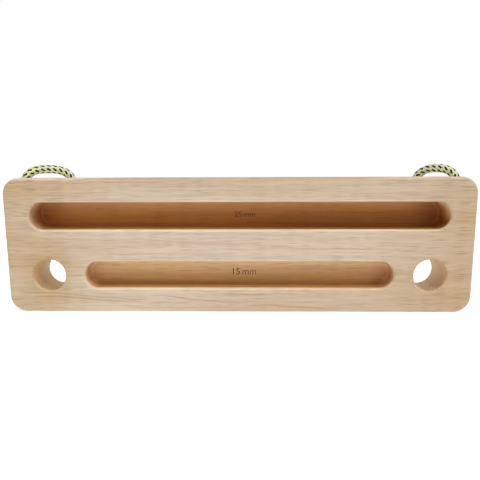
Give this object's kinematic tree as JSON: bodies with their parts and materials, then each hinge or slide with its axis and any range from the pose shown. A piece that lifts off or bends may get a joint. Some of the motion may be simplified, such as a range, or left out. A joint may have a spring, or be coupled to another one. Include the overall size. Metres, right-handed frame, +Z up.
{
  "type": "portable hangboard",
  "caption": "Wooden climbing training board with a deep and a shallow finger slot, a round grip hole at each end and a braided hanging cord tied in a hank behind it.",
  "frame": {"origin": "centre of the board's bottom face, without the cord", "axes": "+Z up, front face with the finger slots towards -Y, +X to the right as seen from the front"},
  "size_m": [0.44, 0.0955, 0.1401],
  "materials": {
    "wood": "sanded pale hardwood, lightly oiled",
    "cord": "braided polyester sheath, yellow-green with white and black tracers",
    "strap": "black hook-and-loop strap"
  },
  "bodies": {
    "root": {"board": "wood", "cord_in_bore_left": "cord", "cord_in_bore_right": "cord", "stopper_knot_left": "cord", "stopper_knot_right": "cord", "cord_left": "cord", "cord_right": "cord", "cord_hank": "cord", "hank_tie": "strap"}
  },
  "joints": []
}
